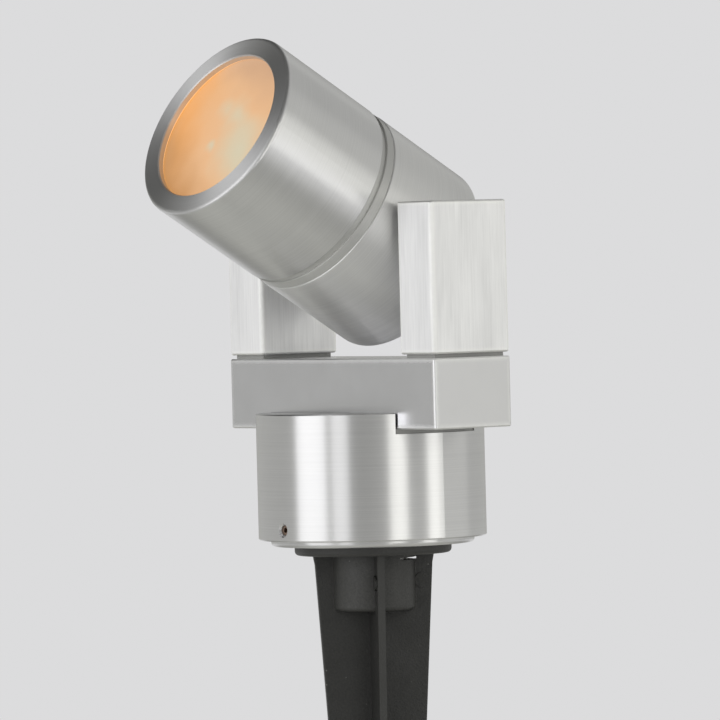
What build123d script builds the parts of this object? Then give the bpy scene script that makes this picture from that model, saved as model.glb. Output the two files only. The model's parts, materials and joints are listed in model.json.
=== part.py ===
from build123d import *

import math
import os

# Landscape spotlight on a ground spike. Millimetres and degrees.
# The ground line is z = 0, the crossbar lies along X and the head aims towards -Y.

# Ground spike
spike_length = 230.0
flange_diameter = 48.2
flange_thickness = 3.0
flange_edge_radius = 1.3
hub_wall = 2.1
hub_depth = 17.5
hub_edge_radius = 1.6
rib_overhang_at_flange = 6.0
rib_overhang_at_shoulder = 5.4
rib_shoulder_depth = 3.0
rib_point_depth = 195.0
rib_half_span_at_point = 6.5
rib_half_span_at_end = 1.4
rib_edge_thickness = 2.2
rib_root_thickness = 3.8
rib_end_edge_thickness = 1.2
rib_end_root_thickness = 1.8
rib_direction = -31.6
rib_boss_diameter = 4.7
rib_boss_height = 0.6
rib_boss_depth = 8.5
rib_boss_inset = 3.0
cable_slot_top = 1.2
cable_slot_height = 0.75
cable_slot_width = 6.4
cable_slot_overrun = 0.7

# Threaded stem between spike and base
stem_diameter = 20.9
stem_wall = 3.45
stem_engagement = 9.0
stem_stand = 0.4
stem_chamfer = 0.5
thread_clearance = 0.15
stem_seal_thickness = 1.0
stem_seal_width = 4.9
stem_nut_wall = 3.5
stem_nut_thickness = 3.5

# Base plate on which the base body pans
plate_lip_thickness = 2.0
plate_lip_step = 3.8
plate_edge_radius = 1.2
spigot_height = 9.6
spigot_clearance = 0.1
lock_groove_width = 3.6
lock_groove_depth = 1.4
groove_land = 0.8
seal_section = 2.0
seal_squeeze = 0.4
seal_groove_play = 0.1

# Base body
base_diameter = 70.0
base_height = 38.7
base_wall = 5.9
base_ceiling = 6.0
base_edge_chamfer = 0.4
base_top_chamfer = 0.3
slot_depth = 6.4
slot_clearance = 0.5
pan_lock_height = 3.6
pan_lock_diameter = 3.0
pan_lock_length = 6.0
pan_lock_countersink = 0.7

# Terminal block inside the base
terminal_length = 8.0
terminal_width = 16.0
terminal_height = 7.0
terminal_corner_radius = 1.0
terminal_gap = 4.0
terminal_way_diameter = 3.2
terminal_way_spacing = 9.6
terminal_way_depth = 4.2
terminal_head_recess = 3.2
terminal_thread_depth = 4.5

# Crossbar
crossbar_width = 29.8
crossbar_height = 21.45
crossbar_end_radius = 0.9
crossbar_edge_chamfer = 0.4
crossbar_thread_depth = 11.8
crossbar_spacer_thickness = 1.45
crossbar_spacer_margin = 5.6
crossbar_spacer_inset = 0.4
crossbar_screw_inset = 6.0
screw_edge_distance = 6.2
wire_bore = 7.0
wire_pocket_diameter = 10.4
wire_pocket_depth = 6.5
wire_turn_rise = 3.2
wire_exit_depth = 6.0

# Arms
arm_thickness = 16.6
arm_above_pivot = 8.7
arm_edge_radius = 1.4
arm_foot_radius = 0.8
arm_top_radius = 0.7
arm_spacer_thickness = 1.15
arm_spacer_inset = 1.6
arm_thread_depth = 13.0
arm_counterbore_diameter = 9.5
arm_counterbore_depth = 6.0
lead_chamber = 6.2
lead_window_play = 0.9
tilt_lock_diameter = 3.0
tilt_lock_length = 9.0

# Head
tilt_at_rest = 30.3
lamp_diameter = 50.0
lamp_clearance = 1.0
sleeve_wall = 4.7
sleeve_length = 41.3
sleeve_front_radius = 1.2
sleeve_rear_radius = 0.5
sleeve_lip = 2.0
lip_overlap = 1.75
lip_chamfer = 0.35
recess_width = 1.9
recess_depth = 0.9
ring_width = 3.2
ring_step = 0.2
ring_chamfer = 0.15
parting_line = 0.25
housing_length = 38.6
housing_wall = 5.2
housing_back_wall = 5.0
housing_back_radius = 3.0
neck_height = 1.4
neck_wall = 2.6
neck_flare = 2.0
neck_chamfer = 0.5
neck_seal_station = 2.6
neck_seal_depth = 1.3
neck_seal_width = 2.0
thread_length = 12.0
thread_runout = 1.0
side_gap = 2.9
swing_clearance = 2.4

# Pivots
journal_diameter = 9.0
journal_clearance = 0.05
journal_length = 6.5
journal_chamfer = 0.5
collar_diameter = 15.0
collar_clearance = 0.3
collar_rim = 0.6
spot_face_land = 0.8
spot_face_play = 0.6
shank_stand = 1.0
pivot_bore = 4.8
pivot_seal_section = 1.6
pivot_seal_depth = 1.1

# Lens
lens_thickness = 4.0
lens_play = 0.2
lens_chamfer = 0.3
lens_gasket_thickness = 0.4
lens_gasket_inset = 0.3
retainer_thickness = 1.5
retainer_rim = 0.4
retainer_play = 0.2

# Lamp and holder
lamp_setback = 0.7
lamp_length = 36.0
lamp_neck_diameter = 16.0
lamp_neck_length = 10.0
lamp_dish_bulge = 3.8
lamp_dish_floor = 3.4
lamp_rim_height = 2.2
lamp_rim_width = 2.0
lamp_ledge = 1.0
lamp_cover_thickness = 1.6
lamp_cover_play = 0.1
burner_diameter = 9.2
burner_play = 0.3
burner_depth = 5.0
burner_length = 16.5
burner_tip_radius = 3.6
pin_spacing = 5.3
pin_diameter = 1.5
pin_length = 7.5
pin_play = 0.1
pin_end_play = 0.5
holder_diameter = 19.0
holder_length = 12.0
holder_chamfer = 0.5
bracket_thickness = 1.2
bracket_width = 12.0
bracket_setback = 2.0
bracket_screw_spacing = 10.0
bracket_thread_depth = 3.5
lead_diameter = 3.6
lead_joint_inset = 1.0

# Fasteners, with the proportions of socket screws to their diameter
arm_screw_diameter = 5.0
crossbar_screw_diameter = 4.0
small_screw_diameter = 3.0
screw_clearance = 0.25
screw_end_play = 1.2
screw_tip_play = 0.3
head_ratio = 1.7
head_chamfer_ratio = 0.08
socket_ratio = 0.84
socket_depth_ratio = 0.55
grub_socket_ratio = 0.6
grub_socket_depth_ratio = 0.5
grub_tip_ratio = 0.15
fit = 0.05

# Sizes that follow
stem_radius = stem_diameter / 2
hub_bore_radius = stem_radius + thread_clearance
hub_radius = hub_bore_radius + hub_wall
base_radius = base_diameter / 2
base_bore_radius = base_radius - base_wall
spigot_radius = base_bore_radius - spigot_clearance
sleeve_bore = lamp_diameter / 2 + lamp_clearance
head_radius = sleeve_bore + sleeve_wall
aperture_radius = sleeve_bore - lip_overlap
neck_radius = sleeve_bore + neck_height
neck_bore = neck_radius - neck_wall
thread_bore = neck_radius + thread_clearance
housing_bore = head_radius - housing_wall
spot_face = math.sqrt(head_radius**2 - (collar_diameter / 2 + spot_face_land) ** 2)
arm_inner = head_radius + side_gap
arm_outer = arm_inner + arm_thickness
arm_centre = arm_inner + arm_thickness / 2
arm_bore_depth = journal_length + lead_chamber
channel_x = arm_inner + arm_bore_depth - wire_bore / 2
crossbar_length = 2 * arm_outer

# Heights
base_bottom = flange_thickness + plate_lip_thickness
spigot_top = base_bottom + spigot_height
lock_groove_height = base_bottom + pan_lock_height
seal_half_groove = seal_section / 2 + seal_groove_play
seal_groove_height = lock_groove_height + lock_groove_width / 2 + groove_land + seal_half_groove
stem_nut_bottom = spigot_top + stem_seal_thickness
stem_top = stem_nut_bottom + stem_nut_thickness + stem_stand
slot_floor = base_bottom + base_height - slot_depth
ceiling = slot_floor - base_ceiling
crossbar_bottom = slot_floor + crossbar_spacer_thickness
crossbar_top = crossbar_bottom + crossbar_height
wire_turn = crossbar_bottom + wire_turn_rise
wire_exit = crossbar_top - wire_exit_depth
arm_bottom = crossbar_top + arm_spacer_thickness
pivot_height = crossbar_top + math.hypot(housing_length / 2, head_radius) + swing_clearance
arm_top = pivot_height + arm_above_pivot

# Stations along the head's axis, from the pivot
housing_back = -housing_length / 2
housing_front = housing_length / 2
back_wall_inside = housing_back + housing_back_wall
ring_front = housing_front + ring_width
sleeve_back = ring_front + recess_width
seal_station = sleeve_back + neck_seal_station
neck_end = sleeve_back + thread_length
sleeve_front = sleeve_back + sleeve_length
lip_back = sleeve_front - sleeve_lip
lens_front = lip_back - lens_gasket_thickness
lens_back = lens_front - lens_thickness
retainer_back = lens_back - retainer_thickness
lamp_front = retainer_back - lamp_setback
lamp_back = lamp_front - lamp_length
holder_back = lamp_back - holder_length

# Frames of the head and of its pivot
lean = math.radians(tilt_at_rest)
aim = Vector(0, -math.cos(lean), math.sin(lean))
head_up = Vector(0, math.sin(lean), math.cos(lean))
pivot = Vector(0, 0, pivot_height)
head_section = Plane(origin=pivot, x_dir=(1, 0, 0), z_dir=-head_up)
head_axis = Axis(pivot, aim)
pivot_section = Plane(origin=pivot, x_dir=(1, 0, 0), z_dir=(0, -1, 0))
pivot_axis = Axis(pivot, (1, 0, 0))


def across_head(station):
    """A plane square to the head's axis, X along the pivot, at a station from the pivot."""
    return Plane(origin=pivot + aim * station, x_dir=(1, 0, 0), z_dir=aim)


def cross_points(half_span, root_thickness, edge_thickness):
    """The outline of four tapered ribs that meet on the axis."""
    root = root_thickness / 2
    edge = edge_thickness / 2
    points = []
    for turn in range(4):
        c = round(math.cos(turn * math.pi / 2))
        s = round(math.sin(turn * math.pi / 2))
        for x, y in [(root, root), (edge, half_span), (-edge, half_span)]:
            points.append((c * x - s * y, s * x + c * y))
    return points


def cap_screw(diameter, reach):
    """A socket-head screw with its head's seat at the origin and its shank up +Z."""
    with BuildPart() as screw:
        Cylinder(diameter / 2, reach, align=(Align.CENTER, Align.CENTER, Align.MIN))
        with BuildSketch(Plane.XY):
            Circle(head_ratio * diameter / 2)
        extrude(amount=-diameter)
        chamfer(screw.faces().sort_by(Axis.Z)[0].edges(), head_chamfer_ratio * diameter)
        with BuildSketch(Plane.XY.offset(-diameter)):
            RegularPolygon(socket_ratio * diameter / 2, 6)
        extrude(amount=socket_depth_ratio * diameter, mode=Mode.SUBTRACT)
    return screw.part


def grub_screw(diameter, length):
    """A headless socket screw with its socket at the origin and its tip down -Z."""
    with BuildPart() as screw:
        Cylinder(diameter / 2, length, align=(Align.CENTER, Align.CENTER, Align.MAX))
        chamfer(screw.faces().sort_by(Axis.Z)[0].edges(), grub_tip_ratio * diameter)
        with BuildSketch(Plane.XY):
            RegularPolygon(grub_socket_ratio * diameter / 2, 6)
        extrude(amount=-grub_socket_depth_ratio * diameter, mode=Mode.SUBTRACT)
    return screw.part


# Ground spike: flange, hollow hub and four tapered ribs that run to a point
rib_at_flange = hub_radius + rib_overhang_at_flange
rib_at_shoulder = hub_radius + rib_overhang_at_shoulder
rib_slope = (rib_at_shoulder - rib_half_span_at_point) / (rib_point_depth - rib_shoulder_depth)
rib_at_boss = rib_at_shoulder - rib_slope * (rib_boss_depth - rib_shoulder_depth)
boss_share = rib_boss_inset / (rib_at_boss - rib_root_thickness / 2)
rib_thickness_at_boss = rib_edge_thickness + (rib_root_thickness - rib_edge_thickness) * boss_share
with BuildPart() as spike:
    with BuildSketch(Plane.XY):
        Polygon(*cross_points(rib_at_flange, rib_root_thickness, rib_edge_thickness), align=None)
    with BuildSketch(Plane.XY.offset(-rib_shoulder_depth)):
        Polygon(*cross_points(rib_at_shoulder, rib_root_thickness, rib_edge_thickness), align=None)
    with BuildSketch(Plane.XY.offset(-rib_point_depth)):
        Polygon(*cross_points(rib_half_span_at_point, rib_root_thickness, rib_edge_thickness), align=None)
    with BuildSketch(Plane.XY.offset(-spike_length)):
        Polygon(*cross_points(rib_half_span_at_end, rib_end_root_thickness, rib_end_edge_thickness), align=None)
    loft(ruled=True)
    for turn in range(4):
        along_rib = Vector(0, 1, 0).rotate(Axis.Z, 90 * turn)
        off_rib = Vector(1, 0, 0).rotate(Axis.Z, 90 * turn)
        boss_centre = along_rib * (rib_at_boss - rib_boss_inset) - Vector(0, 0, rib_boss_depth)
        with BuildSketch(Plane(origin=boss_centre, z_dir=off_rib)):
            Circle(rib_boss_diameter / 2)
        extrude(amount=rib_thickness_at_boss / 2 + rib_boss_height)
    with BuildSketch(Plane.XY):
        Circle(hub_radius)
    extrude(amount=-hub_depth)
    hub_rim = spike.edges().filter_by(GeomType.CIRCLE).filter_by_position(Axis.Z, -hub_depth, -hub_depth)
    fillet(hub_rim.sort_by(SortBy.RADIUS)[-4:], hub_edge_radius)
    with BuildSketch(Plane.XY):
        Circle(flange_diameter / 2)
    extrude(amount=flange_thickness)
    flange_rim = spike.edges().filter_by(GeomType.CIRCLE).filter_by_position(Axis.Z, 0, 0)
    fillet(flange_rim.sort_by(SortBy.RADIUS)[-1], flange_edge_radius)
    with BuildSketch(Plane.XY.offset(flange_thickness)):
        Circle(hub_bore_radius)
    extrude(amount=-(flange_thickness + hub_depth), mode=Mode.SUBTRACT)
    with BuildSketch(Plane.XY.offset(-cable_slot_top)):
        with Locations((0, hub_radius + cable_slot_overrun - cable_slot_width / 2)):
            Rectangle(2 * hub_radius, cable_slot_width)
    extrude(amount=-cable_slot_height, mode=Mode.SUBTRACT)
spike.part = spike.part.rotate(Axis.Z, rib_direction)

# Hollow threaded stem
with BuildPart() as stem:
    with BuildSketch(Plane.XY.offset(-stem_engagement)):
        Circle(stem_radius)
        Circle(stem_radius - stem_wall, mode=Mode.SUBTRACT)
    extrude(amount=stem_engagement + stem_top)
    chamfer(stem.edges().filter_by(GeomType.CIRCLE), stem_chamfer)

# Base plate: a rounded lip under the base body and a spigot up inside it
with BuildPart() as base_plate:
    with BuildSketch(Plane.XZ):
        with BuildLine():
            lock_seat = spigot_radius - lock_groove_depth
            seal_seat = spigot_radius - seal_section + seal_squeeze
            Polyline(
                (stem_radius + fit, flange_thickness),
                (base_radius - plate_lip_step, flange_thickness),
                (base_radius - plate_lip_step, base_bottom),
                (spigot_radius, base_bottom),
                (spigot_radius, lock_groove_height - lock_groove_width / 2),
                (lock_seat, lock_groove_height - lock_groove_width / 2),
                (lock_seat, lock_groove_height + lock_groove_width / 2),
                (spigot_radius, lock_groove_height + lock_groove_width / 2),
                (spigot_radius, seal_groove_height - seal_half_groove),
                (seal_seat, seal_groove_height - seal_half_groove),
                (seal_seat, seal_groove_height + seal_half_groove),
                (spigot_radius, seal_groove_height + seal_half_groove),
                (spigot_radius, spigot_top),
                (stem_radius + fit, spigot_top),
                close=True,
            )
        make_face()
    revolve(axis=Axis.Z)
    fillet(base_plate.faces().sort_by(Axis.Z)[0].edges().sort_by(SortBy.RADIUS)[-1], plate_edge_radius)

# O-ring between the spigot and the base body
with BuildPart() as spigot_seal:
    with BuildSketch(Plane.XZ):
        seal_half_depth = (seal_section - seal_squeeze) / 2
        with Locations((spigot_radius - seal_half_depth, seal_groove_height)):
            Ellipse(seal_half_depth, seal_section / 2)
    revolve(axis=Axis.Z)

# Flat seal and hexagon nut that lock the stem in the base plate
with BuildPart() as stem_seal:
    with BuildSketch(Plane.XY.offset(spigot_top)):
        Circle(stem_radius + stem_seal_width)
        Circle(stem_radius + fit, mode=Mode.SUBTRACT)
    extrude(amount=stem_seal_thickness)

with BuildPart() as stem_nut:
    with BuildSketch(Plane.XY.offset(stem_nut_bottom)):
        RegularPolygon(stem_radius + stem_nut_wall, 6, major_radius=False)
        Circle(stem_radius + fit, mode=Mode.SUBTRACT)
    extrude(amount=stem_nut_thickness)

# Base body: a turned cup with a slot across its top for the crossbar
crossbar_screw_x = base_bore_radius - crossbar_screw_inset
screw_y = crossbar_width / 2 - screw_edge_distance
crossbar_screw_places = [(sx * crossbar_screw_x, sy * screw_y) for sx in (-1, 1) for sy in (-1, 1)]
terminal_face = -(wire_bore / 2 + terminal_gap)
terminal_x = terminal_face - terminal_length / 2
with BuildPart() as base_body:
    with BuildSketch(Plane.XY.offset(base_bottom)):
        Circle(base_radius)
    extrude(amount=base_height)
    chamfer(base_body.faces().sort_by(Axis.Z)[0].edges(), base_edge_chamfer)
    with BuildSketch(Plane.XY.offset(base_bottom)):
        Circle(base_bore_radius)
    extrude(amount=ceiling - base_bottom, mode=Mode.SUBTRACT)
    with BuildSketch(Plane.XY.offset(slot_floor)):
        Rectangle(base_diameter, crossbar_width + 2 * slot_clearance)
    extrude(amount=slot_depth, mode=Mode.SUBTRACT)
    chamfer(base_body.faces().group_by(Axis.Z)[-1].edges(), base_top_chamfer)
    with BuildSketch(Plane.XY.offset(ceiling)):
        Circle(wire_bore / 2)
        with Locations(*crossbar_screw_places):
            Circle(crossbar_screw_diameter / 2 + screw_clearance)
    extrude(amount=base_ceiling, mode=Mode.SUBTRACT)
    with BuildSketch(Plane.XY.offset(ceiling)):
        with Locations((terminal_x, 0)):
            Circle(small_screw_diameter / 2 + fit)
    extrude(amount=terminal_thread_depth, mode=Mode.SUBTRACT)
    for side in (-1, 1):
        mouth = Plane(origin=(0, side * base_radius, lock_groove_height), z_dir=(0, side, 0))
        with BuildSketch(mouth):
            Circle(pan_lock_diameter / 2 + fit)
        extrude(amount=spigot_radius - lock_groove_depth - base_radius, mode=Mode.SUBTRACT)
        with BuildSketch(mouth):
            Circle(pan_lock_diameter / 2 + pan_lock_countersink)
        with BuildSketch(mouth.offset(-pan_lock_countersink)):
            Circle(pan_lock_diameter / 2)
        loft(mode=Mode.SUBTRACT)

# Grub screws that lock the pan, their tips in the spigot's groove
pan_lock_end = spigot_radius - lock_groove_depth + screw_tip_play + pan_lock_length
pan_lock_screw = grub_screw(pan_lock_diameter, pan_lock_length)
pan_lock_places = [
    Plane(origin=(0, side * pan_lock_end, lock_groove_height), z_dir=(0, side, 0)) for side in (-1, 1)
]
with BuildPart() as pan_lock_screws:
    with Locations(*pan_lock_places):
        add(pan_lock_screw)

# Crossbar, its spacer in the slot and the screws that hold it from inside the base
arm_screw_places = [(sx * arm_centre, sy * screw_y) for sx in (-1, 1) for sy in (-1, 1)]
wire_run = Vector(channel_x, 0, wire_exit - wire_turn)
with BuildPart() as crossbar:
    with BuildSketch(Plane.XY.offset(crossbar_bottom)):
        RectangleRounded(crossbar_length, crossbar_width, crossbar_end_radius)
    extrude(amount=crossbar_height)
    chamfer(crossbar.faces().sort_by(Axis.Z)[0].edges(), crossbar_edge_chamfer)
    chamfer(crossbar.faces().sort_by(Axis.Z)[-1].edges(), crossbar_edge_chamfer)
    with BuildSketch(Plane.XY.offset(crossbar_bottom)):
        with Locations(*crossbar_screw_places):
            Circle(crossbar_screw_diameter / 2 + fit)
    extrude(amount=crossbar_thread_depth, mode=Mode.SUBTRACT)
    with BuildSketch(Plane.XY.offset(crossbar_bottom)):
        with Locations(*arm_screw_places):
            Circle(arm_screw_diameter / 2 + screw_clearance)
    extrude(amount=crossbar_height, mode=Mode.SUBTRACT)
    with BuildSketch(Plane.XY.offset(crossbar_bottom)):
        with Locations(*arm_screw_places):
            Circle(arm_counterbore_diameter / 2)
    extrude(amount=arm_counterbore_depth, mode=Mode.SUBTRACT)
    with BuildSketch(Plane.XY.offset(crossbar_bottom)):
        Circle(wire_pocket_diameter / 2)
    extrude(amount=wire_pocket_depth, mode=Mode.SUBTRACT)
    with BuildSketch(Plane(origin=(0, 0, wire_turn), z_dir=wire_run)):
        Circle(wire_bore / 2)
    extrude(amount=wire_run.length, mode=Mode.SUBTRACT)
    with BuildSketch(Plane.XY.offset(crossbar_top)):
        with Locations((channel_x, 0)):
            Circle(wire_bore / 2)
    extrude(amount=-(wire_exit_depth + wire_bore / 2), mode=Mode.SUBTRACT)

with BuildPart() as crossbar_spacer:
    with BuildSketch(Plane.XY.offset(slot_floor)):
        spacer_reach = crossbar_screw_x + crossbar_screw_diameter / 2 + crossbar_spacer_margin
        Rectangle(2 * spacer_reach, crossbar_width - 2 * crossbar_spacer_inset)
        Circle(wire_pocket_diameter / 2, mode=Mode.SUBTRACT)
        with Locations(*crossbar_screw_places):
            Circle(crossbar_screw_diameter / 2 + screw_clearance, mode=Mode.SUBTRACT)
    extrude(amount=crossbar_spacer_thickness)

crossbar_screw_reach = base_ceiling + crossbar_spacer_thickness + crossbar_thread_depth - screw_end_play
crossbar_screw = cap_screw(crossbar_screw_diameter, crossbar_screw_reach)
with BuildPart() as crossbar_screws:
    with Locations(*[(x, y, ceiling) for x, y in crossbar_screw_places]):
        add(crossbar_screw)

# Terminal block on the base's ceiling, and its screw
terminal_bottom = ceiling - terminal_height
with BuildPart() as terminal_block:
    with BuildSketch(Plane.XY.offset(ceiling)):
        with Locations((terminal_x, 0)):
            RectangleRounded(terminal_length, terminal_width, terminal_corner_radius)
            Circle(small_screw_diameter / 2 + screw_clearance, mode=Mode.SUBTRACT)
    extrude(amount=-terminal_height)
    with BuildSketch(Plane.XY.offset(terminal_bottom)):
        with Locations((terminal_x, 0)):
            Circle(head_ratio * small_screw_diameter / 2 + screw_clearance)
    extrude(amount=terminal_head_recess, mode=Mode.SUBTRACT)
    with BuildSketch(Plane.XY.offset(terminal_bottom)):
        with Locations((terminal_x, -terminal_way_spacing / 2), (terminal_x, terminal_way_spacing / 2)):
            Circle(terminal_way_diameter / 2)
    extrude(amount=terminal_way_depth, mode=Mode.SUBTRACT)

terminal_screw_seat = terminal_bottom + terminal_head_recess
terminal_screw_reach = ceiling + terminal_thread_depth - screw_end_play - terminal_screw_seat
small_terminal_screw = cap_screw(small_screw_diameter, terminal_screw_reach)
with BuildPart() as terminal_screw:
    with Locations((terminal_x, 0, terminal_screw_seat)):
        add(small_terminal_screw)

# Arms: brushed blocks with a blind pivot bore, a foot drilled for two screws and a tilt lock behind
tilt_lock_x = arm_inner + journal_length / 2


def make_arm(side):
    """One arm; side is -1 for the left and 1 for the right, and only the right carries the lead."""
    with BuildPart() as arm:
        with BuildSketch(Plane.XY.offset(arm_bottom)):
            with Locations((side * arm_centre, 0)):
                RectangleRounded(arm_thickness, crossbar_width, arm_edge_radius)
        extrude(amount=arm_top - arm_bottom)
        fillet(arm.faces().sort_by(Axis.Z)[0].edges(), arm_foot_radius)
        fillet(arm.faces().sort_by(Axis.Z)[-1].edges(), arm_top_radius)
        with BuildSketch(Plane(origin=(side * arm_inner, 0, pivot_height), z_dir=(-side, 0, 0))):
            Circle(journal_diameter / 2 + journal_clearance)
        extrude(amount=-arm_bore_depth, mode=Mode.SUBTRACT)
        with BuildSketch(Plane.XY.offset(arm_bottom)):
            with Locations((side * arm_centre, -screw_y), (side * arm_centre, screw_y)):
                Circle(arm_screw_diameter / 2 + fit)
        extrude(amount=arm_thread_depth, mode=Mode.SUBTRACT)
        with BuildSketch(Plane(origin=(side * tilt_lock_x, 0, pivot_height), z_dir=(0, 1, 0))):
            Circle(tilt_lock_diameter / 2 + fit)
        extrude(amount=crossbar_width / 2, mode=Mode.SUBTRACT)
        if side > 0:
            with BuildSketch(Plane.XY.offset(arm_bottom)):
                with Locations((channel_x, 0)):
                    Circle(wire_bore / 2)
            extrude(amount=pivot_height - arm_bottom, mode=Mode.SUBTRACT)
    return arm.part


def make_arm_spacer(side):
    """The plate that an arm stands on."""
    with BuildPart() as spacer:
        with BuildSketch(Plane.XY.offset(crossbar_top)):
            with Locations((side * arm_centre, 0)):
                Rectangle(arm_thickness - 2 * arm_spacer_inset, crossbar_width - 2 * arm_spacer_inset)
            with Locations((side * arm_centre, -screw_y), (side * arm_centre, screw_y)):
                Circle(arm_screw_diameter / 2 + screw_clearance, mode=Mode.SUBTRACT)
            if side > 0:
                with Locations((channel_x, 0)):
                    Circle(lead_diameter / 2 + lead_window_play, mode=Mode.SUBTRACT)
        extrude(amount=arm_spacer_thickness)
    return spacer.part


arm_screw_seat = crossbar_bottom + arm_counterbore_depth
arm_screw = cap_screw(arm_screw_diameter, arm_bottom + arm_thread_depth - screw_end_play - arm_screw_seat)
with BuildPart() as arm_screws:
    with Locations(*[(x, y, arm_screw_seat) for x, y in arm_screw_places]):
        add(arm_screw)

tilt_lock_end = journal_diameter / 2 + screw_tip_play + tilt_lock_length
tilt_lock_screw = grub_screw(tilt_lock_diameter, tilt_lock_length)
tilt_lock_places = [
    Plane(origin=(side * tilt_lock_x, tilt_lock_end, pivot_height), z_dir=(0, 1, 0)) for side in (-1, 1)
]
with BuildPart() as tilt_lock_screws:
    with Locations(*tilt_lock_places):
        add(tilt_lock_screw)

# Rear housing of the head: a cup with a threaded neck and a spot face for each trunnion
bracket_screw_places = [(0, -bracket_screw_spacing / 2), (0, bracket_screw_spacing / 2)]
with BuildPart() as rear_housing:
    with BuildSketch(head_section):
        with BuildLine():
            neck_seat = neck_radius - neck_seal_depth
            Polyline(
                (0, housing_back),
                (head_radius, housing_back),
                (head_radius, housing_front - parting_line),
                (head_radius - parting_line, housing_front),
                (neck_radius, housing_front),
                (neck_radius, seal_station - neck_seal_width / 2),
                (neck_seat, seal_station - neck_seal_width / 2),
                (neck_seat, seal_station + neck_seal_width / 2),
                (neck_radius, seal_station + neck_seal_width / 2),
                (neck_radius, neck_end - neck_chamfer),
                (neck_radius - neck_chamfer, neck_end),
                (neck_bore, neck_end),
                (neck_bore, housing_front),
                (housing_bore, housing_front - neck_flare),
                (housing_bore, back_wall_inside),
                (0, back_wall_inside),
                close=True,
            )
        make_face()
    revolve(axis=head_axis)
    fillet(rear_housing.faces().sort_by(head_axis)[0].edges(), housing_back_radius)
    for side in (-1, 1):
        outward = Plane(origin=pivot + Vector(side * spot_face, 0, 0), z_dir=(side, 0, 0))
        with BuildSketch(outward):
            Circle(collar_diameter / 2 + spot_face_play)
        extrude(amount=head_radius - spot_face, mode=Mode.SUBTRACT)
        with BuildSketch(outward):
            Circle(journal_diameter / 2 + fit)
        extrude(amount=-spot_face / 2, mode=Mode.SUBTRACT)
    with BuildSketch(across_head(back_wall_inside)):
        with Locations(*bracket_screw_places):
            Circle(small_screw_diameter / 2 + fit)
    extrude(amount=-bracket_thread_depth, mode=Mode.SUBTRACT)

# Joint ring between the rear housing and the sleeve
with BuildPart() as joint_ring:
    with BuildSketch(head_section):
        with BuildLine():
            ring_radius = head_radius - ring_step
            recess_floor = head_radius - recess_depth
            Polyline(
                (neck_radius + fit, housing_front),
                (ring_radius - parting_line, housing_front),
                (ring_radius, housing_front + parting_line),
                (ring_radius, ring_front - ring_chamfer),
                (ring_radius - ring_chamfer, ring_front),
                (recess_floor, ring_front),
                (recess_floor, sleeve_back),
                (neck_radius + fit, sleeve_back),
                close=True,
            )
        make_face()
    revolve(axis=head_axis)

# O-ring on the neck, under the sleeve
with BuildPart() as neck_seal:
    with BuildSketch(head_section):
        with Locations((neck_radius - neck_seal_depth / 2, seal_station)):
            Ellipse(neck_seal_depth / 2, neck_seal_width / 2 - seal_groove_play)
    revolve(axis=head_axis)

# Trunnions, with a face seal between each collar and its arm
collar_end = arm_inner - collar_clearance
pivot_seal_out = collar_diameter / 2 - collar_rim
pivot_seal_in = pivot_seal_out - pivot_seal_section


def make_trunnion(side):
    """A hollow pivot: shank in the housing's wall, collar in the side gap, journal in the arm."""
    journal_radius = journal_diameter / 2
    journal_end = arm_inner + journal_length
    with BuildPart() as trunnion:
        with BuildSketch(pivot_section):
            with BuildLine():
                Polyline(
                    (side * (housing_bore - shank_stand), pivot_bore / 2),
                    (side * (housing_bore - shank_stand), journal_radius),
                    (side * spot_face, journal_radius),
                    (side * spot_face, collar_diameter / 2),
                    (side * collar_end, collar_diameter / 2),
                    (side * collar_end, pivot_seal_out),
                    (side * (collar_end - pivot_seal_depth), pivot_seal_out),
                    (side * (collar_end - pivot_seal_depth), pivot_seal_in),
                    (side * collar_end, pivot_seal_in),
                    (side * collar_end, journal_radius),
                    (side * (journal_end - journal_chamfer), journal_radius),
                    (side * journal_end, journal_radius - journal_chamfer),
                    (side * journal_end, pivot_bore / 2),
                    close=True,
                )
            make_face()
        revolve(axis=pivot_axis)
    return trunnion.part


with BuildPart() as pivot_seals:
    for side in (-1, 1):
        with BuildSketch(pivot_section):
            seal_x = side * (collar_end - pivot_seal_depth / 2)
            with Locations((seal_x, (pivot_seal_out + pivot_seal_in) / 2)):
                Ellipse(pivot_seal_depth / 2, pivot_seal_section / 2 - seal_groove_play)
        revolve(axis=pivot_axis)

# Front sleeve: screws onto the neck and traps the lens behind its lip
retainer_radius = sleeve_bore + retainer_rim
with BuildPart() as front_sleeve:
    with BuildSketch(head_section):
        with BuildLine():
            thread_end = neck_end + thread_runout
            Polyline(
                (thread_bore, sleeve_back),
                (head_radius, sleeve_back),
                (head_radius, sleeve_front),
                (aperture_radius + lip_chamfer, sleeve_front),
                (aperture_radius, sleeve_front - lip_chamfer),
                (aperture_radius, lip_back),
                (sleeve_bore, lip_back),
                (sleeve_bore, lens_back),
                (retainer_radius + retainer_play, lens_back),
                (retainer_radius + retainer_play, retainer_back - retainer_play),
                (sleeve_bore, retainer_back - retainer_play),
                (sleeve_bore, thread_end + thread_bore - sleeve_bore),
                (thread_bore, thread_end),
                close=True,
            )
        make_face()
    revolve(axis=head_axis)
    outer_front = front_sleeve.faces().sort_by(head_axis)[-1].edges().sort_by(SortBy.RADIUS)[-1]
    fillet(outer_front, sleeve_front_radius)
    outer_back = front_sleeve.faces().sort_by(head_axis)[0].edges().sort_by(SortBy.RADIUS)[-1]
    fillet(outer_back, sleeve_rear_radius)

# Lens, the gasket in front of it and the snap ring behind it
lens_radius = sleeve_bore - lens_play
with BuildPart() as lens_glass:
    with BuildSketch(across_head(lens_back)):
        Circle(lens_radius)
    extrude(amount=lens_thickness)
    chamfer(lens_glass.edges().filter_by(GeomType.CIRCLE), lens_chamfer)

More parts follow.
